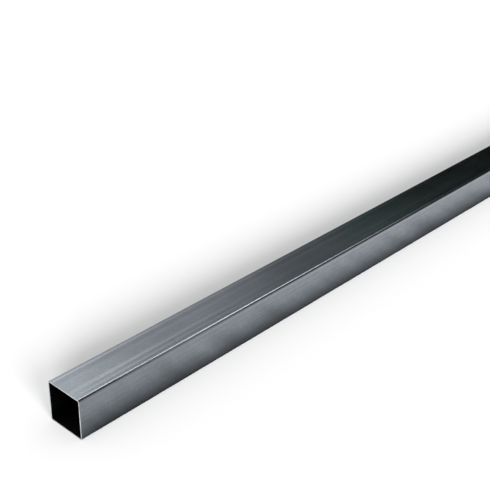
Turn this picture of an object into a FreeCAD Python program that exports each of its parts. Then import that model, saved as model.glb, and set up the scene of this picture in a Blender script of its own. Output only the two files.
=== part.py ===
"""Square steel tube, one metre of cold-rolled seam-welded stock lying on one of its flats. Sizes are in millimetres.

The tube runs along X. The origin is on the ground, under the middle of the tube. The weld seam is in the top
flat, towards -Y, and its bead stands inside the bore.
"""
import FreeCAD, Part
import math
import os
import Sketcher

NODE = "square_tube"

# Each driving size: its name, its value, and what it measures
SIZES = [
    ("side", 30.0, "outside width across two opposite flats"),
    ("wall", 1.0, "wall thickness"),
    ("bend_radius", 0.8, "inside radius of the four rolled corners"),
    ("tube_length", 1000.0, "length of the sawn piece"),
    ("end_break", 0.15, "chamfer that the deburring wheel leaves on the sawn edges"),
    ("seam_offset", 8.1, "from the middle of the top flat to the weld seam"),
    ("bead_width", 1.6, "width of the weld bead where it meets the wall"),
    ("bead_height", 0.4, "how far the weld bead stands into the bore"),
]

START = 1
END = 2
ORIGIN = (-1, 1)


def make_sheet(doc):
    """The spreadsheet that holds every driving size."""
    sheet = doc.addObject("Spreadsheet::Sheet", "sizes")
    for row, (alias, value, meaning) in enumerate(SIZES, start=1):
        sheet.set(f"A{row}", alias)
        sheet.set(f"B{row}", str(value))
        sheet.setAlias(f"B{row}", alias)
        sheet.set(f"C{row}", meaning)
    doc.recompute()
    return sheet


def add_section_sketch(body, name):
    """A sketch on the plane across the tube: its X is the part's Y, and its Y is the part's Z."""
    plane = next(feature for feature in body.Origin.OriginFeatures if feature.Role == "YZ_Plane")
    sketch = body.newObject("Sketcher::SketchObject", name)
    sketch.AttachmentSupport = (plane, [""])
    sketch.MapMode = "FlatFace"
    return sketch


def bind(sketch, name, constraint, expression):
    """Adds a dimension to a sketch and ties it to the sheet."""
    index = sketch.addConstraint(constraint)
    sketch.renameConstraint(index, name)
    sketch.setExpression(f"Constraints.{name}", expression)


def add_rounded_square(sketch, name, side, radius, side_rule, radius_rule):
    """A closed outline about the sketch's origin: four flats, joined by four quarter-circle corners."""
    half = side / 2
    flat = half - radius
    first = sketch.GeometryCount
    axis = FreeCAD.Vector(0, 0, 1)
    for turn in range(4):
        angle = turn * math.pi / 2
        outward = FreeCAD.Vector(math.cos(angle), math.sin(angle), 0)
        along = FreeCAD.Vector(-math.sin(angle), math.cos(angle), 0)
        middle = outward * half
        sketch.addGeometry(Part.LineSegment(middle - along * flat, middle + along * flat), False)
        corner = Part.Circle((outward + along) * flat, axis, radius)
        sketch.addGeometry(Part.ArcOfCircle(corner, angle, angle + math.pi / 2), False)
    flats = [first + 2 * turn for turn in range(4)]
    corners = [line + 1 for line in flats]
    for turn in range(4):
        following = flats[(turn + 1) % 4]
        sketch.addConstraint(Sketcher.Constraint("Tangent", flats[turn], END, corners[turn], START))
        sketch.addConstraint(Sketcher.Constraint("Tangent", corners[turn], END, following, START))
        direction = "Horizontal" if turn % 2 else "Vertical"
        sketch.addConstraint(Sketcher.Constraint(direction, flats[turn]))
    for corner in corners[1:]:
        sketch.addConstraint(Sketcher.Constraint("Equal", corners[0], corner))
    sketch.addConstraint(Sketcher.Constraint("Equal", flats[0], flats[1]))
    sketch.addConstraint(Sketcher.Constraint("Symmetric", flats[0], START, flats[2], START, *ORIGIN))
    width = Sketcher.Constraint("DistanceX", flats[2], START, flats[0], START, side)
    bind(sketch, f"{name}_side", width, side_rule)
    bind(sketch, f"{name}_radius", Sketcher.Constraint("Radius", corners[0], radius), radius_rule)


def add_bead_outline(sketch, sizes):
    """The bead's section: a low crown under the top flat, with a root that reaches halfway into the wall."""
    level = sizes["side"] / 2 - sizes["wall"]
    root = level + sizes["wall"] / 2
    left = -sizes["seam_offset"] - sizes["bead_width"] / 2
    right = left + sizes["bead_width"]
    middle = (left + right) / 2
    foot_left = FreeCAD.Vector(left, level, 0)
    foot_right = FreeCAD.Vector(right, level, 0)
    crown = FreeCAD.Vector(middle, level - sizes["bead_height"], 0)
    root_right = FreeCAD.Vector(right, root, 0)
    root_left = FreeCAD.Vector(left, root, 0)
    arc = sketch.addGeometry(Part.Arc(foot_left, crown, foot_right), False)
    rise = sketch.addGeometry(Part.LineSegment(foot_right, root_right), False)
    top = sketch.addGeometry(Part.LineSegment(root_right, root_left), False)
    fall = sketch.addGeometry(Part.LineSegment(root_left, foot_left), False)
    for before, after in ((arc, rise), (rise, top), (top, fall), (fall, arc)):
        sketch.addConstraint(Sketcher.Constraint("Coincident", before, END, after, START))
    sketch.addConstraint(Sketcher.Constraint("Vertical", rise))
    sketch.addConstraint(Sketcher.Constraint("Horizontal", top))
    sketch.addConstraint(Sketcher.Constraint("Vertical", fall))
    sketch.addConstraint(Sketcher.Constraint("Horizontal", arc, START, arc, END))
    width = Sketcher.Constraint("DistanceX", arc, START, arc, END, sizes["bead_width"])
    bind(sketch, "bead_width", width, "sizes.bead_width")
    place = Sketcher.Constraint("DistanceX", arc, START, *ORIGIN, -left)
    bind(sketch, "bead_place", place, "sizes.seam_offset + sizes.bead_width / 2")
    height = Sketcher.Constraint("DistanceY", *ORIGIN, arc, START, level)
    bind(sketch, "wall_face", height, "sizes.side / 2 - sizes.wall")
    depth = Sketcher.Constraint("DistanceY", fall, END, fall, START, sizes["wall"] / 2)
    bind(sketch, "root_depth", depth, "sizes.wall / 2")
    crown_radius = sizes["bead_width"] ** 2 / (8 * sizes["bead_height"]) + sizes["bead_height"] / 2
    rule = "sizes.bead_width * sizes.bead_width / (8 * sizes.bead_height) + sizes.bead_height / 2"
    bind(sketch, "crown_radius", Sketcher.Constraint("Radius", arc, crown_radius), rule)


def pad_both_ways(body, name, sketch):
    """Runs a section along the whole tube, half of the length to each side of the origin."""
    pad = body.newObject("PartDesign::Pad", name)
    pad.Profile = sketch
    pad.SideType = "Symmetric"
    pad.setExpression("Length", "sizes.tube_length")
    sketch.Visibility = False
    return pad


def sawn_edges(shape, length):
    """Names of the edges that lie in the two sawn faces."""
    names = []
    for index, edge in enumerate(shape.Edges, start=1):
        box = edge.BoundBox
        flat = box.XLength < 0.001
        at_end = abs(abs(box.Center.x) - length / 2) < 0.001
        if flat and at_end:
            names.append(f"Edge{index}")
    return names


def make_tube(doc, sizes):
    """The rolled wall, its deburred ends and the weld bead inside it."""
    body = doc.addObject("PartDesign::Body", NODE)
    body.Label = NODE
    wall_sketch = add_section_sketch(body, "wall_section")
    outer_radius = sizes["bend_radius"] + sizes["wall"]
    bore_side = sizes["side"] - 2 * sizes["wall"]
    add_rounded_square(
        wall_sketch, "outer", sizes["side"], outer_radius, "sizes.side", "sizes.bend_radius + sizes.wall"
    )
    add_rounded_square(
        wall_sketch, "bore", bore_side, sizes["bend_radius"], "sizes.side - 2 * sizes.wall", "sizes.bend_radius"
    )
    wall = pad_both_ways(body, "wall_pad", wall_sketch)
    doc.recompute()

    deburring = body.newObject("PartDesign::Chamfer", "end_deburring")
    deburring.Base = (wall, sawn_edges(wall.Shape, sizes["tube_length"]))
    deburring.setExpression("Size", "sizes.end_break")
    body.Tip = deburring
    doc.recompute()

    bead_sketch = add_section_sketch(body, "bead_section")
    add_bead_outline(bead_sketch, sizes)
    bead = pad_both_ways(body, "weld_bead", bead_sketch)
    body.Tip = bead

    body.Placement = FreeCAD.Placement(FreeCAD.Vector(0, 0, sizes["side"] / 2), FreeCAD.Rotation())
    body.setExpression("Placement.Base.z", "sizes.side / 2")
    doc.recompute()
    return body


def check_document(doc):
    """Stops when an object of the document failed to compute, or a sketch is left loose."""
    for item in doc.Objects:
        if "Invalid" in item.State or "Error" in item.State:
            raise RuntimeError(f"{item.Name} failed: {item.State}")
        if item.isDerivedFrom("Sketcher::SketchObject") and not item.FullyConstrained:
            raise RuntimeError(f"{item.Name} isn't fully constrained")


def check_tube(body):
    """Stops unless the tube is one valid solid."""
    shape = body.Shape
    if shape.isNull() or not shape.isValid():
        raise RuntimeError(f"{body.Label} has no valid shape")
    if len(shape.Solids) != 1:
        raise RuntimeError(f"{body.Label} has {len(shape.Solids)} solids")


document = FreeCAD.newDocument("square_steel_tube")
sheet = make_sheet(document)
tube_sizes = {alias: sheet.get(alias) for alias, value, meaning in SIZES}
tube = make_tube(document, tube_sizes)
check_document(document)
check_tube(tube)

os.makedirs("parts", exist_ok=True)
tube.Shape.exportStep(f"parts/{tube.Label}.step")
bounds = tube.Shape.BoundBox
print(f"{tube.Label}: {bounds.XLength:.3f} x {bounds.YLength:.3f} x {bounds.ZLength:.3f} mm from z {bounds.ZMin:.3f}")
print(f"volume {tube.Shape.Volume:.1f} mm3, {len(tube.Shape.Faces)} faces")
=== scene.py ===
"""Dresses the square steel tube: its rolled skin, its sawn rims and its bore.

It lies on a pale floor, in plain studio light.
"""
import math

import bpy
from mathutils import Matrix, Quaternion, Vector


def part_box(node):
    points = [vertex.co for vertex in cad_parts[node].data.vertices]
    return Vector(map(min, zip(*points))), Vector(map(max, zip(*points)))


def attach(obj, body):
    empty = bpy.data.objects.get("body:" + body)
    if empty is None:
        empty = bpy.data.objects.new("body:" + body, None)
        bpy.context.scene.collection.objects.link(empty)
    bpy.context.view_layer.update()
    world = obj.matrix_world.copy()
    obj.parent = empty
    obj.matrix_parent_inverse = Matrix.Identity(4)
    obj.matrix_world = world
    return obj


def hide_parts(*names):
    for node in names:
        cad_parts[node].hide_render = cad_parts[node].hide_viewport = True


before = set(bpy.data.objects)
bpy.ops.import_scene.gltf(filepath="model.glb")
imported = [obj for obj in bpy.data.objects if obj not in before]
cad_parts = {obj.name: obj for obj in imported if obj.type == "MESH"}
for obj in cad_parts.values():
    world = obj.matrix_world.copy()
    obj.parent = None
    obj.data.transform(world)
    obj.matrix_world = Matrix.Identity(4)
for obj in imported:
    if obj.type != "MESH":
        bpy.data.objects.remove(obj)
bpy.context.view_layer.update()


# The tube: one length of cold-rolled strip, bent to a square, welded along one flat and sawn square.
# Its wall is a long thin rectangle, carried once round the section, so that skin, rims and bore are
# one closed surface. The sizes are the real ones, in metres.
tube_low, tube_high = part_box("square_tube")
TUBE_LENGTH = tube_high.x - tube_low.x
SIDE = tube_high.z - tube_low.z
WALL = 0.0010
BEND_RADIUS = 0.0008
END_BREAK = 0.00015
SEAM_OFFSET = 0.0081
BEAD_WIDTH = 0.0016
BEAD_HEIGHT = 0.0004
SCARF_WIDTH = 0.0048
SCARF_DEPTH = 0.00003
WAVE_DEPTH = 0.00004
WAVES_PER_METRE = (60.0, 60.0, 9.0)
CORNER_STEPS = 10
SEAM_FLAT_STEP = 0.0003
PLAIN_FLAT_STEP = 0.0022
LENGTH_STEP = 0.008
SAME_LINE = 0.00001
SAME_FACE = 0.00002
SHARPEST_SMOOTH_EDGE = math.radians(25.0)
QUARTER_TURN = math.radians(90.0)


def put(tree, kind, inputs=(), **settings):
    """Adds a node with its settings, and fills its inputs with values or links."""
    made = tree.nodes.new(kind)
    for name, value in settings.items():
        setattr(made, name, value)
    pairs = inputs.items() if isinstance(inputs, dict) else enumerate(inputs)
    for key, value in pairs:
        if isinstance(value, bpy.types.NodeSocket):
            tree.links.new(value, made.inputs[key])
        elif value is not None:
            made.inputs[key].default_value = value
    return made


def calc(tree, operation, *values):
    """One step of arithmetic, as a socket."""
    return put(tree, "ShaderNodeMath", values, operation=operation).outputs[0]


def make_tube_tree():
    """Carries the wall round the tube, then presses in the seam and the rolling waves."""
    tree = bpy.data.node_groups.new("tube_from_its_wall", "GeometryNodeTree")
    tree.interface.new_socket("Tube", in_out="OUTPUT", socket_type="NodeSocketGeometry")
    lengths = [
        "Length", "Side", "Wall", "Bend Radius", "End Break",
        "Seam Offset", "Bead Width", "Bead Height",
        "Scarf Width", "Scarf Depth", "Wave Depth",
        "Seam Flat Step", "Plain Flat Step", "Length Step",
    ]
    for name in lengths:
        tree.interface.new_socket(name, in_out="INPUT", socket_type="NodeSocketFloat")
    tree.interface.new_socket("Corner Steps", in_out="INPUT", socket_type="NodeSocketInt")
    for name in ("Skin", "Rim", "Bore"):
        tree.interface.new_socket(name, in_out="INPUT", socket_type="NodeSocketMaterial")
    size = put(tree, "NodeGroupInput").outputs

    half = calc(tree, "MULTIPLY", size["Side"], 0.5)
    inner_half = calc(tree, "SUBTRACT", half, size["Wall"])
    middle_side = calc(tree, "SUBTRACT", size["Side"], size["Wall"])
    middle_radius = calc(tree, "MULTIPLY_ADD", size["Wall"], 0.5, size["Bend Radius"])
    middle_half = calc(tree, "MULTIPLY", middle_side, 0.5)

    # the section's line, in the middle of the wall, with its corners bent and its flats divided
    square = put(tree, "GeometryNodeCurvePrimitiveQuadrilateral", {
        "Width": middle_side,
        "Height": middle_side,
    })
    bent = put(tree, "GeometryNodeFilletCurve", mode="POLY", inputs={
        "Curve": square.outputs[0],
        "Count": size["Corner Steps"],
        "Radius": middle_radius,
    })
    here = put(tree, "GeometryNodeInputPosition").outputs[0]
    follower = put(tree, "GeometryNodeOffsetPointInCurve", {"Offset": 1}).outputs["Point Index"]
    there = put(tree, "GeometryNodeFieldAtIndex", {"Index": follower, "Value": here},
                data_type="FLOAT_VECTOR").outputs[0]
    run = put(tree, "ShaderNodeVectorMath", [here, there], operation="DISTANCE").outputs["Value"]
    here_y = put(tree, "ShaderNodeSeparateXYZ", [here]).outputs["Y"]
    there_y = put(tree, "ShaderNodeSeparateXYZ", [there]).outputs["Y"]
    lower_y = calc(tree, "MINIMUM", here_y, there_y)
    on_top = calc(tree, "COMPARE", lower_y, middle_half, SAME_LINE)
    steps = [on_top, size["Plain Flat Step"], size["Seam Flat Step"]]
    step = put(tree, "GeometryNodeSwitch", steps, input_type="FLOAT").outputs[0]
    cuts = calc(tree, "FLOOR", calc(tree, "DIVIDE", run, step))
    section = put(tree, "GeometryNodeSubdivideCurve", {"Curve": bent.outputs[0], "Cuts": cuts})

    # the wall cut lengthwise: as long as the tube, as thick as the strip, its four edges broken
    strip = put(tree, "GeometryNodeCurvePrimitiveQuadrilateral", {
        "Width": size["Wall"],
        "Height": size["Length"],
    })
    broken = put(tree, "GeometryNodeFilletCurve", mode="POLY", inputs={
        "Curve": strip.outputs[0],
        "Count": 1,
        "Radius": size["End Break"],
    })
    long_cuts = calc(tree, "FLOOR", calc(tree, "DIVIDE", run, size["Length Step"]))
    wall = put(tree, "GeometryNodeSubdivideCurve", {"Curve": broken.outputs[0], "Cuts": long_cuts})
    swept = put(tree, "GeometryNodeCurveToMesh", {
        "Curve": section.outputs[0],
        "Profile Curve": wall.outputs[0],
    })

    # the scarfed seam outside, in the top flat
    parts = put(tree, "ShaderNodeSeparateXYZ", [here]).outputs
    off_seam = calc(tree, "ABSOLUTE", calc(tree, "ADD", parts["X"], size["Seam Offset"]))
    outside = calc(tree, "COMPARE", parts["Y"], half, SAME_FACE)
    inside = calc(tree, "COMPARE", parts["Y"], inner_half, SAME_FACE)
    half_scarf = calc(tree, "MULTIPLY", size["Scarf Width"], 0.5)
    scarf = put(tree, "ShaderNodeMapRange", interpolation_type="SMOOTHSTEP", inputs={
        "Value": off_seam,
        "From Min": 0.0,
        "From Max": half_scarf,
        "To Min": 1.0,
        "To Max": 0.0,
    })
    scarf_depth = calc(tree, "MULTIPLY", scarf.outputs[0], size["Scarf Depth"])
    scarf_fall = calc(tree, "MULTIPLY", scarf_depth, outside)

    # its bead inside, an arc whose radius is width * width / (8 * height) + height / 2
    width_squared = calc(tree, "MULTIPLY", size["Bead Width"], size["Bead Width"])
    spread = calc(tree, "DIVIDE", calc(tree, "DIVIDE", width_squared, 8.0), size["Bead Height"])
    crown_radius = calc(tree, "MULTIPLY_ADD", size["Bead Height"], 0.5, spread)
    reach = calc(tree, "SUBTRACT", calc(tree, "MULTIPLY", crown_radius, crown_radius),
                 calc(tree, "MULTIPLY", off_seam, off_seam))
    sunk = calc(tree, "SUBTRACT", crown_radius, size["Bead Height"])
    bead = calc(tree, "MAXIMUM", calc(tree, "SUBTRACT", calc(tree, "SQRT", reach), sunk), 0.0)
    bead_fall = calc(tree, "MULTIPLY", bead, inside)
    fall = calc(tree, "MULTIPLY", calc(tree, "ADD", scarf_fall, bead_fall), -1.0)
    sink = put(tree, "ShaderNodeCombineXYZ", {"Y": fall}).outputs[0]
    seamed = put(tree, "GeometryNodeSetPosition", {"Geometry": swept.outputs[0], "Offset": sink})

    # the rolls leave each flat a hair hollow or full along the length, inside the nominal size
    stretch = put(tree, "ShaderNodeVectorMath", [here, WAVES_PER_METRE], operation="MULTIPLY")
    noise = put(tree, "ShaderNodeTexNoise", {
        "Vector": stretch.outputs[0],
        "Scale": 1.0,
        "Detail": 1.0,
    }).outputs[0]
    shrink = calc(tree, "DIVIDE", calc(tree, "MULTIPLY", noise, size["Wave Depth"]), half)
    inwards = put(tree, "ShaderNodeVectorMath", [here, (-1.0, -1.0, 0.0)], operation="MULTIPLY")
    dent = put(tree, "ShaderNodeVectorMath", operation="SCALE", inputs={
        "Vector": inwards.outputs[0],
        "Scale": shrink,
    }).outputs[0]
    rolled = put(tree, "GeometryNodeSetPosition", {"Geometry": seamed.outputs[0], "Offset": dent})

    # sawn rims, skin and bore: the broken edges outside are skin, and inside are bore
    height = calc(tree, "ABSOLUTE", parts["Z"])
    half_length = calc(tree, "MULTIPLY", size["Length"], 0.5)
    end_line = calc(tree, "MULTIPLY_ADD", size["End Break"], -0.25, half_length)
    at_end = calc(tree, "GREATER_THAN", height, end_line)
    wide = calc(tree, "MAXIMUM", calc(tree, "ABSOLUTE", parts["X"]),
                calc(tree, "ABSOLUTE", parts["Y"]))
    in_bore = calc(tree, "LESS_THAN", wide, middle_half)
    dressed = rolled
    for chosen, finish in ((True, "Skin"), (in_bore, "Bore"), (at_end, "Rim")):
        dressed = put(tree, "GeometryNodeSetMaterial", [dressed.outputs[0], chosen, size[finish]])
    angle = put(tree, "GeometryNodeInputMeshEdgeAngle").outputs["Unsigned Angle"]
    soft = calc(tree, "LESS_THAN", angle, SHARPEST_SMOOTH_EDGE)
    smooth = put(tree, "GeometryNodeSetShadeSmooth", [dressed.outputs[0], True, soft], domain="EDGE")
    turned = put(tree, "GeometryNodeTransform", {
        "Geometry": smooth.outputs[0],
        "Translation": put(tree, "ShaderNodeCombineXYZ", {"Z": half}).outputs[0],
        "Rotation": (QUARTER_TURN, 0.0, QUARTER_TURN),
    })
    real = put(tree, "GeometryNodeRealizeInstances", [turned.outputs[0]])
    put(tree, "NodeGroupOutput", [real.outputs[0]])
    return tree


# The skin: bare cold-rolled steel, satin and faintly blue, with drawn lines along it. The scarfing
# tool has shaved the weld flash off the top flat, and left bright edges and the dark weld between.
# Roll marks lie beside it, and the rolls have burnished the corners and the walls close under them.
STEEL_DARK = (0.310, 0.342, 0.376, 1.0)
STEEL_LIGHT = (0.462, 0.508, 0.558, 1.0)
MARK_LIGHT = (0.72, 0.79, 0.86, 1.0)
MARK_DARK = (0.10, 0.115, 0.135, 1.0)
BURNISHED = (0.56, 0.61, 0.66, 1.0)
SCRATCHED = (0.66, 0.71, 0.76, 1.0)
WARMED = (0.44, 0.42, 0.40, 1.0)
SKIN_LINES_PER_METRE = 2600.0
SKIN_BREAKS_PER_METRE = 7.0
BAND_SHARE = 0.16
PATCH_SCALE = (11.0, 34.0, 34.0)
MOTTLE_SCALE = (75.0, 75.0, 75.0)
SPECKLE_SCALE = (420.0, 900.0, 900.0)
GRAIN_SCALE = (900.0, 2600.0, 2600.0)
SCRATCH_SCALE = (16.0, 2100.0, 1.0)
SCRATCH_TURNS = [(0.8, 0.0), (-2.5, 4.7)]
LINE_FAINT = 0.7
LINE_STRONG = 1.3
FLAT_FADE_DEEP = 0.0004
FLAT_FADE_SHALLOW = 0.0002
SCARF_SWING = 0.53
SCARF_FAINT = 0.12
SCARF_STRONG = 1.1
SCARF_DRIFT = 0.0009
DRIFTS_PER_METRE = 13.0
SCARF_AT_CUT = 0.35
SCARF_CUT_REACH = 0.035
SCARF_MARKS = [
    # across from the weld, half width, and how much lighter (or darker) it is
    (SCARF_WIDTH / 2 + 0.0010, 0.0021, 0.37),
    (-SCARF_WIDTH / 2 + 0.0008, 0.0010, 0.25),
    (0.0008, 0.0012, -0.33),
    (-SCARF_WIDTH / 2 - 0.0011, 0.0015, -0.36),
]
ROLL_MARKS = [
    (SEAM_OFFSET + 0.0115, 0.0013, 0.42),
    (SEAM_OFFSET + 0.0082, 0.0032, -0.14),
]
CORNER_FADE_FLAT = 0.0002
CORNER_FADE_BEND = 0.0007
CORNER_BURNISH = 0.25
RUBBED_DROP = 0.0028
RUBBED_HALF_WIDTH = 0.0012
RUBBED_FAINT = 0.10
RUBBED_STRONG = 0.26
RUBBED_START = 0.05
RUBBED_FULL = 0.14
SCRATCH_LIGHT = 0.25
HEAT_SHARE = 0.30
HEAT_NEAR = 0.0005
HEAT_REACH = 0.006
HEAT_WANDER = 0.002
SKIN_ROUGHNESS = 0.150


def new_material(name, **values):
    """A node material, its tree and its Principled shader, whose plain values are set."""
    material = bpy.data.materials.new(name)
    material.use_nodes = True
    tree = material.node_tree
    shader = tree.nodes["Principled BSDF"]
    for socket, value in values.items():
        shader.inputs[socket.replace("_", " ")].default_value = value
    return material, tree, shader


def object_place(tree):
    """The place on the object, and its X, Y and Z."""
    place = put(tree, "ShaderNodeTexCoord").outputs["Object"]
    return place, put(tree, "ShaderNodeSeparateXYZ", [place]).outputs


def ramp(tree, value, low, high, low_out=0.0, high_out=1.0, smooth=False):
    """Maps low..high to low_out..high_out and clamps, as a socket."""
    kind = "SMOOTHSTEP" if smooth else "LINEAR"
    inputs = {
        "Value": value,
        "From Min": low,
        "From Max": high,
        "To Min": low_out,
        "To Max": high_out,
    }
    return put(tree, "ShaderNodeMapRange", inputs, interpolation_type=kind).outputs[0]


def blend_colours(tree, share, first, second):
    """Mixes two colours by a share, as a socket."""
    return put(tree, "ShaderNodeMix", {0: share, 6: first, 7: second}, data_type="RGBA").outputs[2]


def cloud(tree, place, scale, detail=2.0, low=0.35, high=0.65):
    """Soft noise on a stretched place, spread to 0..1, as a socket."""
    stretched = put(tree, "ShaderNodeVectorMath", [place, scale], operation="MULTIPLY").outputs[0]
    noise = put(tree, "ShaderNodeTexNoise", {"Vector": stretched, "Scale": 1.0, "Detail": detail})
    return ramp(tree, noise.outputs[0], low, high)


def line_mask(tree, across, centre, half_width):
    """A soft line along the tube, centred at a distance across it."""
    distance = calc(tree, "ABSOLUTE", calc(tree, "SUBTRACT", across, centre))
    return ramp(tree, distance, 0.0, half_width, 1.0, 0.0, smooth=True)


def on_flat(tree, distance, face):
    """1 on the flat that lies at a distance of face, fading to 0 just under it."""
    return ramp(tree, distance, face - FLAT_FADE_DEEP, face - FLAT_FADE_SHALLOW)


def add_up(tree, weighted):
    """Adds sockets, each times its weight."""
    total = 0.0
    for socket, weight in weighted:
        total = calc(tree, "MULTIPLY_ADD", socket, weight, total)
    return total


def raise_grain(tree, shader, height, strength, distance):
    """Gives the shader's normal a bump from a height."""
    bump = put(tree, "ShaderNodeBump", {
        "Height": height,
        "Strength": strength,
        "Distance": distance,
    })
    tree.links.new(bump.outputs[0], shader.inputs["Normal"])


def make_streak_group():
    """What rolling leaves along steel: fine lines, broader bands, and a few stray scratches."""
    group = bpy.data.node_groups.new("lengthwise_streaks", "ShaderNodeTree")
    group.interface.new_socket("Place", in_out="INPUT", socket_type="NodeSocketVector")
    for name in ("Lines per Metre", "Breaks per Metre"):
        group.interface.new_socket(name, in_out="INPUT", socket_type="NodeSocketFloat")
    for name in ("Lines", "Bands", "Scratches"):
        group.interface.new_socket(name, in_out="OUTPUT", socket_type="NodeSocketFloat")
    given = put(group, "NodeGroupInput").outputs
    outputs = []
    for share in (1.0, BAND_SHARE):
        across = calc(group, "MULTIPLY", given["Lines per Metre"], share)
        along = calc(group, "MULTIPLY", given["Breaks per Metre"], share)
        scale = put(group, "ShaderNodeCombineXYZ", [along, across, across]).outputs[0]
        outputs.append(cloud(group, given["Place"], scale, detail=3.0, low=0.3, high=0.7))

    # stray scratches, a few degrees off the length, on a plane unrolled from the flats
    parts = put(group, "ShaderNodeSeparateXYZ", [given["Place"]]).outputs
    girth = calc(group, "ADD", parts["Y"], parts["Z"])
    unrolled = put(group, "ShaderNodeCombineXYZ", [parts["X"], girth]).outputs[0]
    scratches = []
    for degrees, offset in SCRATCH_TURNS:
        turned = put(group, "ShaderNodeMapping", {
            "Vector": unrolled,
            "Location": (offset, offset, 0.0),
            "Rotation": (0.0, 0.0, math.radians(degrees)),
        }).outputs[0]
        scratches.append(cloud(group, turned, SCRATCH_SCALE, detail=0.0, low=0.74, high=0.84))
    outputs.append(calc(group, "MAXIMUM", *scratches))
    put(group, "NodeGroupOutput", outputs)
    return group


streak_group = make_streak_group()


def streaks(tree, place, lines_per_metre, breaks_per_metre):
    """Places the streak group in a material: returns its lines, bands and scratches."""
    made = put(tree, "ShaderNodeGroup", {}, node_tree=streak_group)
    tree.links.new(place, made.inputs["Place"])
    made.inputs["Lines per Metre"].default_value = lines_per_metre
    made.inputs["Breaks per Metre"].default_value = breaks_per_metre
    return made.outputs["Lines"], made.outputs["Bands"], made.outputs["Scratches"]


skin, tree, shader = new_material("cold_rolled_steel", Metallic=1.0)
place, parts = object_place(tree)
lines, bands, scratches = streaks(tree, place, SKIN_LINES_PER_METRE, SKIN_BREAKS_PER_METRE)
patches = cloud(tree, place, PATCH_SCALE)
mottle = cloud(tree, place, MOTTLE_SCALE, detail=3.0)
speckle = cloud(tree, place, SPECKLE_SCALE, detail=1.0)
tone = add_up(tree, [
    (lines, 0.20),
    (bands, 0.26),
    (patches, 0.18),
    (mottle, 0.16),
    (speckle, 0.20),
])
steel = blend_colours(tree, tone, STEEL_DARK, STEEL_LIGHT)

# the scarf's marks wander a little, swing between faint and strong, and fade at the cut
drift = put(tree, "ShaderNodeTexNoise", noise_dimensions="1D", inputs={
    "W": parts["X"],
    "Scale": DRIFTS_PER_METRE,
    "Detail": 2.0,
})
drift = ramp(tree, drift.outputs[0], 0.0, 1.0, -SCARF_DRIFT, SCARF_DRIFT)
off_seam = calc(tree, "ADD", parts["Y"], SEAM_OFFSET)
drifted = calc(tree, "ADD", off_seam, drift)
swing = calc(tree, "COSINE", calc(tree, "MULTIPLY", parts["X"], math.tau / SCARF_SWING))
broken_up = ramp(tree, lines, 0.0, 1.0, LINE_FAINT, LINE_STRONG)
to_cut = calc(tree, "SUBTRACT", TUBE_LENGTH / 2, calc(tree, "ABSOLUTE", parts["X"]))
strength = calc(tree, "MULTIPLY", ramp(tree, swing, -1.0, 1.0, SCARF_FAINT, SCARF_STRONG), broken_up)
strength = calc(tree, "MULTIPLY", strength,
                ramp(tree, to_cut, 0.0, SCARF_CUT_REACH, SCARF_AT_CUT, 1.0))
on_top = on_flat(tree, parts["Z"], SIDE)
for marks, across, share in (
    (SCARF_MARKS, drifted, strength),
    (ROLL_MARKS, off_seam, broken_up),
):
    share = calc(tree, "MULTIPLY", share, on_top)
    for sign, tint in ((1.0, MARK_LIGHT), (-1.0, MARK_DARK)):
        drawn = add_up(tree, [
            (line_mask(tree, across, centre, half_width), abs(weight))
            for centre, half_width, weight in marks
            if weight * sign > 0.0
        ])
        steel = blend_colours(tree, calc(tree, "MULTIPLY", drawn, share), steel, tint)

# burnished corners, a rubbed line on each wall, scratches, and the warm tint that the saw leaves
across_wall = calc(tree, "ABSOLUTE", parts["Y"])
up = calc(tree, "ABSOLUTE", calc(tree, "SUBTRACT", parts["Z"], SIDE / 2))
out = calc(tree, "MINIMUM", across_wall, up)
flat_edge = SIDE / 2 - WALL - BEND_RADIUS
corner = ramp(tree, out, flat_edge - CORNER_FADE_FLAT, flat_edge + CORNER_FADE_BEND, smooth=True)
steel = blend_colours(tree, calc(tree, "MULTIPLY", corner, CORNER_BURNISH), steel, BURNISHED)
rubbed = calc(tree, "MULTIPLY", on_flat(tree, across_wall, SIDE / 2),
              line_mask(tree, up, SIDE / 2 - RUBBED_DROP, RUBBED_HALF_WIDTH))
rubbed = calc(tree, "MULTIPLY", rubbed, ramp(tree, lines, 0.0, 1.0, RUBBED_FAINT, RUBBED_STRONG))
rubbed = calc(tree, "MULTIPLY", rubbed, ramp(tree, to_cut, RUBBED_START, RUBBED_FULL))
steel = blend_colours(tree, rubbed, steel, MARK_LIGHT)
steel = blend_colours(tree, calc(tree, "MULTIPLY", scratches, SCRATCH_LIGHT), steel, SCRATCHED)
heat_line = calc(tree, "MULTIPLY_ADD", patches, HEAT_WANDER, to_cut)
heat = ramp(tree, heat_line, HEAT_NEAR, HEAT_REACH, HEAT_SHARE, 0.0, smooth=True)
steel = blend_colours(tree, heat, steel, WARMED)
tree.links.new(steel, shader.inputs["Base Color"])

rough = add_up(tree, [(lines, 0.06), (patches, 0.03), (corner, -0.04), (scratches, 0.04)])
tree.links.new(calc(tree, "ADD", rough, SKIN_ROUGHNESS), shader.inputs["Roughness"])
grain = cloud(tree, place, GRAIN_SCALE)
relief = add_up(tree, [(lines, 0.6), (grain, 0.2), (scratches, -0.4)])
raise_grain(tree, shader, relief, strength=0.5, distance=0.00002)

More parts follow.
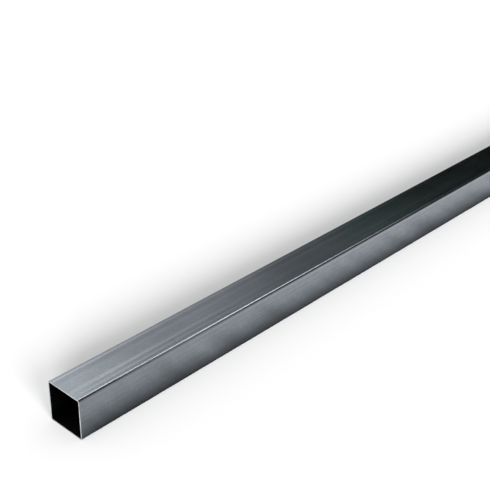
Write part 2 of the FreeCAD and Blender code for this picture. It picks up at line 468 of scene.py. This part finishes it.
# The rims: fresh metal where the saw went through, crossed by its fine kerf lines. The front wall's
# rim has painted shade on it, darker in two places.
KERF_DARK = (0.56, 0.58, 0.60, 1.0)
KERF_LIGHT = (0.84, 0.86, 0.88, 1.0)
KERF_TURN = 0.6
KERF_SCALE = 420.0
RIM_SHADE_COLOUR = (0.20, 0.205, 0.215, 1.0)
RIM_SHADE_SPOTS = [
    # height on the front wall, half width and strength
    (0.0243, 0.0038, 0.45),
    (0.0060, 0.0090, 0.50),
]
RIM_SHADE_FULL = 0.001
RIM_SHADE_END = 0.003
RIM_SMOOTHEST = 0.30
RIM_ROUGHEST = 0.42
rim, tree, shader = new_material("sawn_steel", Metallic=1.0)
place, parts = object_place(tree)
kerf_place = put(tree, "ShaderNodeMapping", {"Vector": place, "Rotation": (KERF_TURN, 0.0, 0.0)})
kerf = put(tree, "ShaderNodeTexWave", wave_type="BANDS", bands_direction="Z", inputs={
    "Vector": kerf_place.outputs[0],
    "Scale": KERF_SCALE,
    "Distortion": 2.0,
    "Detail": 2.0,
}).outputs["Fac"]
fresh = blend_colours(tree, kerf, KERF_DARK, KERF_LIGHT)
# painted shade: two darker bands across the front wall's rim
rim_shade = add_up(tree, [
    (line_mask(tree, parts["Z"], height, half_width), weight)
    for height, half_width, weight in RIM_SHADE_SPOTS
])
front = -SIDE / 2
on_front = ramp(tree, parts["Y"], front + RIM_SHADE_FULL, front + RIM_SHADE_END, 1.0, 0.0)
fresh = blend_colours(tree, calc(tree, "MULTIPLY", rim_shade, on_front), fresh, RIM_SHADE_COLOUR)
tree.links.new(fresh, shader.inputs["Base Color"])
rough = ramp(tree, kerf, 0.0, 1.0, RIM_SMOOTHEST, RIM_ROUGHEST)
tree.links.new(rough, shader.inputs["Roughness"])
raise_grain(tree, shader, kerf, strength=0.4, distance=0.00002)

# The bore: the strip's other side with its mill oil, painted near black for the shade deep inside it.
# The heat of the weld has left a blue temper stain along its bead.
# painted shade: the bore's colours are near black, far darker than its oiled steel
OIL_AND_SHADE_DARK = (0.015, 0.016, 0.017, 1.0)
OIL_AND_SHADE_LIGHT = (0.034, 0.035, 0.037, 1.0)
TEMPER_BLUE = (0.030, 0.048, 0.095, 1.0)
TEMPER_SHARE = 0.7
TEMPER_HALF_WIDTH = 0.0035
TEMPER_FADE = 0.0002
BORE_LINES_PER_METRE = 1400.0
BORE_BREAKS_PER_METRE = 9.0
BORE_SMOOTHEST = 0.42
BORE_ROUGHEST = 0.58
bore, tree, shader = new_material("bore_steel", Metallic=1.0)
place, parts = object_place(tree)
lines, bands, _ = streaks(tree, place, BORE_LINES_PER_METRE, BORE_BREAKS_PER_METRE)
oil_and_shade = blend_colours(tree, bands, OIL_AND_SHADE_DARK, OIL_AND_SHADE_LIGHT)
crown = SIDE - WALL - BEAD_HEIGHT
under_top = ramp(tree, parts["Z"], crown - TEMPER_FADE, crown)
stain = line_mask(tree, calc(tree, "ADD", parts["Y"], SEAM_OFFSET), 0.0, TEMPER_HALF_WIDTH)
stain = calc(tree, "MULTIPLY", stain, under_top)
oil_and_shade = blend_colours(tree, calc(tree, "MULTIPLY", stain, TEMPER_SHARE), oil_and_shade, TEMPER_BLUE)
tree.links.new(oil_and_shade, shader.inputs["Base Color"])
rough = ramp(tree, lines, 0.0, 1.0, BORE_SMOOTHEST, BORE_ROUGHEST)
tree.links.new(rough, shader.inputs["Roughness"])
raise_grain(tree, shader, lines, strength=0.3, distance=0.00003)

# The whole tube: the wall is carried round once with its three finishes, and becomes one plain closed
# mesh, which stands for the solid of the CAD model.
tube_inputs = {
    "Length": TUBE_LENGTH,
    "Side": SIDE,
    "Wall": WALL,
    "Bend Radius": BEND_RADIUS,
    "End Break": END_BREAK,
    "Seam Offset": SEAM_OFFSET,
    "Bead Width": BEAD_WIDTH,
    "Bead Height": BEAD_HEIGHT,
    "Scarf Width": SCARF_WIDTH,
    "Scarf Depth": SCARF_DEPTH,
    "Wave Depth": WAVE_DEPTH,
    "Seam Flat Step": SEAM_FLAT_STEP,
    "Plain Flat Step": PLAIN_FLAT_STEP,
    "Length Step": LENGTH_STEP,
    "Corner Steps": CORNER_STEPS,
    "Skin": skin,
    "Rim": rim,
    "Bore": bore,
}
tube_tree = make_tube_tree()
seed = bpy.data.objects.new("tube_seed", bpy.data.meshes.new("tube_seed"))
bpy.context.scene.collection.objects.link(seed)
modifier = seed.modifiers.new("tube", "NODES")
modifier.node_group = tube_tree
for item in tube_tree.interface.items_tree:
    if item.in_out == "INPUT":
        modifier[item.identifier] = tube_inputs[item.name]
graph = bpy.context.evaluated_depsgraph_get()
tube_mesh = bpy.data.meshes.new_from_object(seed.evaluated_get(graph), depsgraph=graph)
seed.modifiers.remove(modifier)
bpy.data.objects.remove(seed)
tube_mesh.name = "rolled_tube"
tube = bpy.data.objects.new("rolled_tube", tube_mesh)
bpy.context.scene.collection.objects.link(tube)
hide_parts("square_tube")
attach(tube, "root")

# The floor: a pale sweep that keeps the tube's soft shadow. To the metal it glows instead, with
# painted shade close beside the tube, and painted light towards the far end and before the cuts. The
# near end lies to the west, and the camera stands to the south.
FLOOR_SIZE = 80.0
FLOOR_PAPER = (0.80, 0.80, 0.80, 1.0)
FLOOR_GLOW = 0.11
SHADE_REACH = 0.0235
SHADE_NARROWEST = 0.76
SHADE_WIDEST = 1.26
SHADE_LEVEL = 0.05
SHADE_END = 0.015
UNEVEN_PER_METRE = 30.0
MIRRORED_WEST = 0.54
MIRRORED_EAST = 0.76
MIRRORED_EAST_FROM = 0.1
DIM_START = 0.034
DIM_FULL = 0.090
DIM_SHARE = 0.72
MIRRORED_AT_CUT = 1.50
MIRRORED_OPEN = 0.90
CUT_REACH = 0.022
CUT_FADE_IN = -0.002
CUT_FADE_OUT = 0.004
CUT_SLOPE_SOUTH = 1.5
CUT_SLOPE_NORTH = 0.6
near_end = Vector((tube_low.x, 0.0, 0.0))


def blend(tree, share, first, second):
    """Mixes two numbers by a share, as a socket."""
    return put(tree, "ShaderNodeMix", [share, None, first, second], data_type="FLOAT").outputs[0]


bpy.ops.mesh.primitive_plane_add(size=FLOOR_SIZE)
floor = bpy.context.object
floor.name = "floor"
paper, tree, shader = new_material("pale_floor", Base_Color=FLOOR_PAPER, Roughness=1.0)
shader.inputs["Specular IOR Level"].default_value = 0.0
shader.inputs["Emission Color"].default_value = (1.0, 1.0, 1.0, 1.0)
seen = put(tree, "ShaderNodeLightPath").outputs
own_glow = calc(tree, "MULTIPLY", seen["Is Camera Ray"], FLOOR_GLOW)
tree.links.new(own_glow, shader.inputs["Emission Strength"])
_, parts = object_place(tree)
beside = calc(tree, "SUBTRACT", calc(tree, "ABSOLUTE", parts["Y"]), SIDE / 2)
past_end = calc(tree, "SUBTRACT", calc(tree, "ABSOLUTE", parts["X"]), TUBE_LENGTH / 2)

# what the metal mirrors beside the tube: painted shade close to it, less deep at the tube's ends
full = ramp(tree, parts["X"], near_end.x, MIRRORED_EAST_FROM, MIRRORED_WEST, MIRRORED_EAST)
dimmed = ramp(tree, beside, DIM_START, DIM_FULL, 1.0, DIM_SHARE, smooth=True)
full = calc(tree, "MULTIPLY", full, dimmed)
uneven = put(tree, "ShaderNodeTexNoise", noise_dimensions="1D", inputs={
    "W": parts["X"],
    "Scale": UNEVEN_PER_METRE,
})
reach = ramp(tree, uneven.outputs[0], 0.3, 0.7,
             SHADE_REACH * SHADE_NARROWEST, SHADE_REACH * SHADE_WIDEST)
clear = ramp(tree, calc(tree, "DIVIDE", beside, reach), 0.0, 1.0)
painted_level = blend(tree, clear, SHADE_LEVEL, full)
shaded = calc(tree, "SUBTRACT", 1.0, clear)
less_shade = calc(tree, "MULTIPLY", shaded, ramp(tree, past_end, -SHADE_END, 0.0))
painted_level = calc(tree, "MULTIPLY_ADD", painted_level, less_shade, painted_level)

# painted light it mirrors before each cut: a bright patch as wide as the tube, which widens away from
# it
south = calc(tree, "MULTIPLY", calc(tree, "SUBTRACT", -SIDE / 2, parts["Y"]), CUT_SLOPE_SOUTH)
north = calc(tree, "MULTIPLY", calc(tree, "SUBTRACT", parts["Y"], SIDE / 2), CUT_SLOPE_NORTH)
aside = calc(tree, "MAXIMUM", calc(tree, "MAXIMUM", south, north), 0.0)
before_cut = ramp(tree, calc(tree, "SUBTRACT", past_end, aside), CUT_FADE_IN, CUT_FADE_OUT)
at_cut = ramp(tree, past_end, 0.0, CUT_REACH, MIRRORED_AT_CUT, MIRRORED_OPEN)
painted_level = blend(tree, before_cut, painted_level, at_cut)
# the floor's painted glow, with its painted shade and light, which only the metal sees
painted_in_metal = put(tree, "ShaderNodeEmission", {"Strength": painted_level}).outputs[0]
mixed = put(tree, "ShaderNodeMixShader", [seen["Is Glossy Ray"], shader.outputs[0], painted_in_metal])
tree.links.new(mixed.outputs[0], tree.nodes["Material Output"].inputs["Surface"])
floor.data.materials.append(paper)

# The overhead cards: only the metal shows them. They are bright over the near end and fade along the
# tube, which grades the top flat from light to dark. The narrow one draws the bright line of the front
# corner, and the faint one lights the dark line under it for a short way.
CARD_HEIGHT = 1.0
LEAN_START = 1.1
LEAN_FULL = 1.5
LEAN_NORTH_OF = 1.0
WIDE_CARD_LEAN = 0.7
WIDE_CARD = [
    # distance from the near end, south edge and north edge
    (-3.0, 0.80, 5.0),
    (0.65, 0.80, 5.0),
    (0.95, 0.45, 5.0),
    (1.15, 0.25, 5.0),
    (1.45, -0.10, 5.0),
    (9.0, -0.10, 5.0),
]
WIDE_CARD_STOPS = [
    # distance from the near end, and the colour there
    (0.70, (1.00, 1.00, 1.00)),
    (0.78, (0.89, 0.89, 0.89)),
    (0.84, (0.64, 0.64, 0.64)),
    (0.93, (0.476, 0.476, 0.476)),
    (1.05, (0.450, 0.454, 0.457)),
    (1.18, (0.368, 0.371, 0.380)),
    (1.32, (0.220, 0.219, 0.226)),
    (1.45, (0.112, 0.116, 0.119)),
    (1.52, (0.080, 0.082, 0.086)),
    (1.60, (0.067, 0.077, 0.077)),
    (1.80, (0.045, 0.085, 0.066)),
    (2.00, (0.000, 0.004, 0.000)),
    (2.30, (0.000, 0.000, 0.000)),
]
NARROW_CARD = [
    (-3.0, 0.34, 0.75),
    (0.65, 0.34, 0.75),
    (0.95, 0.08, 0.44),
    (1.15, -0.12, 0.25),
    (1.45, -0.45, -0.10),
    (9.0, -0.45, -0.10),
]
NARROW_CARD_STOPS = [
    (0.60, (0.78, 0.78, 0.78)),
    (0.72, (0.90, 0.90, 0.90)),
    (0.80, (1.00, 1.00, 1.00)),
    (1.04, (1.00, 1.00, 1.00)),
    (1.17, (0.54, 0.55, 0.55)),
    (1.30, (0.26, 0.27, 0.265)),
    (1.45, (0.070, 0.080, 0.075)),
    (1.60, (0.005, 0.008, 0.007)),
    (1.70, (0.000, 0.000, 0.000)),
]
FAINT_CARD = [
    (0.60, -0.80, -0.05),
    (1.16, -0.80, -0.05),
]
FAINT_CARD_STOPS = [
    (0.66, (0.00, 0.00, 0.00)),
    (0.75, (0.62, 0.63, 0.64)),
    (0.84, (0.60, 0.61, 0.62)),
    (0.95, (0.34, 0.35, 0.35)),
    (1.05, (0.12, 0.125, 0.125)),
    (1.13, (0.00, 0.00, 0.00)),
]


def hang_card(name, outline, strength, stops, lean=0.0):
    """Hangs a glowing card above the tube. A leaning one fades later towards the north."""
    mesh = bpy.data.meshes.new(name)
    points = [(near_end.x + x, y, CARD_HEIGHT) for x, *edges in outline for y in edges]
    faces = [(k, k + 1, k + 3, k + 2) for k in range(0, len(points) - 2, 2)]
    mesh.from_pydata(points, [], faces)
    card = bpy.data.objects.new(name, mesh)
    bpy.context.scene.collection.objects.link(card)
    for kind in ("camera", "diffuse", "transmission", "volume_scatter", "shadow"):
        setattr(card, f"visible_{kind}", False)
    cloth, tree, _ = new_material(name)
    _, parts = object_place(tree)
    lag = ramp(tree, parts["X"], near_end.x + LEAN_START, near_end.x + LEAN_FULL, 0.0, lean)
    north = calc(tree, "MAXIMUM", calc(tree, "SUBTRACT", parts["Y"], LEAN_NORTH_OF), 0.0)
    along = calc(tree, "SUBTRACT", parts["X"], calc(tree, "MULTIPLY", lag, north))
    first, last = stops[0][0], stops[-1][0]
    share = ramp(tree, along, near_end.x + first, near_end.x + last)
    fade = put(tree, "ShaderNodeValToRGB", [share])
    for position, colour in stops[1:-1]:
        fade.color_ramp.elements.new((position - first) / (last - first))
    for element, (position, colour) in zip(fade.color_ramp.elements, stops):
        element.color = (*colour, 1.0)
    glow = put(tree, "ShaderNodeEmission", {"Color": fade.outputs[0], "Strength": strength})
    tree.links.new(glow.outputs[0], tree.nodes["Material Output"].inputs["Surface"])
    mesh.materials.append(cloth)


hang_card("wide_softbox", WIDE_CARD, 1.0, WIDE_CARD_STOPS, lean=WIDE_CARD_LEAN)
hang_card("narrow_softbox", NARROW_CARD, 3.0, NARROW_CARD_STOPS)
hang_card("faint_softbox", FAINT_CARD, 1.0, FAINT_CARD_STOPS)

# The key lamps: a pair, soft and low from the front, so the shadow lies behind the tube and ends
# softly. The lower one stands further round, so their shadows are equally wide. No metal mirrors them.
KEY_LAMP_SPREAD = math.radians(20.0)
KEY_LAMPS = [
    # turn, elevation and energy
    (-45.0, 18.7, 2.84),
    (-18.0, 24.5, 2.20),
]
for key_turn, key_elevation, key_energy in KEY_LAMPS:
    lamp_data = bpy.data.lights.new("key_lamp", "SUN")
    lamp_data.energy = key_energy
    lamp_data.angle = KEY_LAMP_SPREAD
    lamp = bpy.data.objects.new("key_lamp", lamp_data)
    bpy.context.scene.collection.objects.link(lamp)
    lamp.rotation_euler = (math.radians(90.0 - key_elevation), 0.0, math.radians(key_turn))
    lamp.visible_glossy = False

# The room: white to the camera, and even on the floor. In the metal it is bright along the horizon,
# except beyond the far end, where it is dark all the way down. Its ceiling is grey to the west, and
# dark to the east.
ROOM_LIGHT = 0.57
HORIZON_LEVEL = 0.36
EAST_FADE_START = 0.58
EAST_FADE_END = 0.74
NORTH_EAST_FADE_START = 0.2
NORTH_EAST_FADE_END = 0.6
HORIZON_TOP = 0.32
CEILING_FOOT = 0.56
CEILING_WEST = 0.30
CEILING_WEST_TO = -0.35
CEILING_EAST = 0.02
CEILING_EAST_FROM = -0.05
world = bpy.data.worlds.new("studio")
bpy.context.scene.world = world
world.use_nodes = True
world.cycles.sampling_method = "NONE"
tree = world.node_tree
seen = put(tree, "ShaderNodeLightPath").outputs
direction = put(tree, "ShaderNodeTexCoord").outputs["Generated"]
parts = put(tree, "ShaderNodeSeparateXYZ", [direction]).outputs
north_east = calc(tree, "MINIMUM", parts["X"], calc(tree, "MULTIPLY", parts["Y"], 2.0))
near_side = ramp(tree, north_east, NORTH_EAST_FADE_START, NORTH_EAST_FADE_END, 1.0, 0.0)
not_east = ramp(tree, parts["X"], EAST_FADE_START, EAST_FADE_END, 1.0, 0.0)
near_side = calc(tree, "MULTIPLY", near_side, not_east)
horizon = calc(tree, "MULTIPLY", near_side, HORIZON_LEVEL)
risen = ramp(tree, parts["Z"], HORIZON_TOP, CEILING_FOOT, smooth=True)
ceiling = ramp(tree, parts["X"], CEILING_WEST_TO, CEILING_EAST_FROM, CEILING_WEST, CEILING_EAST)
level = blend(tree, seen["Is Glossy Ray"], ROOM_LIGHT, blend(tree, risen, horizon, ceiling))
level = calc(tree, "MAXIMUM", level, seen["Is Camera Ray"])
tree.links.new(level, tree.nodes["Background"].inputs["Strength"])
tree.nodes["Background"].inputs["Color"].default_value = (1.0, 1.0, 1.0, 1.0)

# The camera: before the near end, to the south and above, and rolled by a degree, as in the
# photograph. Its place and its aim are counted from the near end, in sides of the tube.
CAMERA_SENSOR = 36.0
CAMERA_LENS = 75.27
CAMERA_PLACE = (-9.755, -13.791, 13.515)
CAMERA_AIM = (7.638, 2.131, 0.5)
CAMERA_ROLL = math.radians(1.04)
camera_data = bpy.data.cameras.new("camera")
camera_data.sensor_width = CAMERA_SENSOR
camera_data.lens = CAMERA_LENS
camera = bpy.data.objects.new("camera", camera_data)
bpy.context.scene.collection.objects.link(camera)
bpy.context.scene.camera = camera
camera.location = near_end + Vector(CAMERA_PLACE) * SIDE
aim = near_end + Vector(CAMERA_AIM) * SIDE
camera.rotation_mode = "QUATERNION"
roll = Quaternion((0.0, 0.0, 1.0), CAMERA_ROLL)
camera.rotation_quaternion = (aim - camera.location).to_track_quat("-Z", "Y") @ roll
bpy.context.scene.view_settings.view_transform = "Standard"
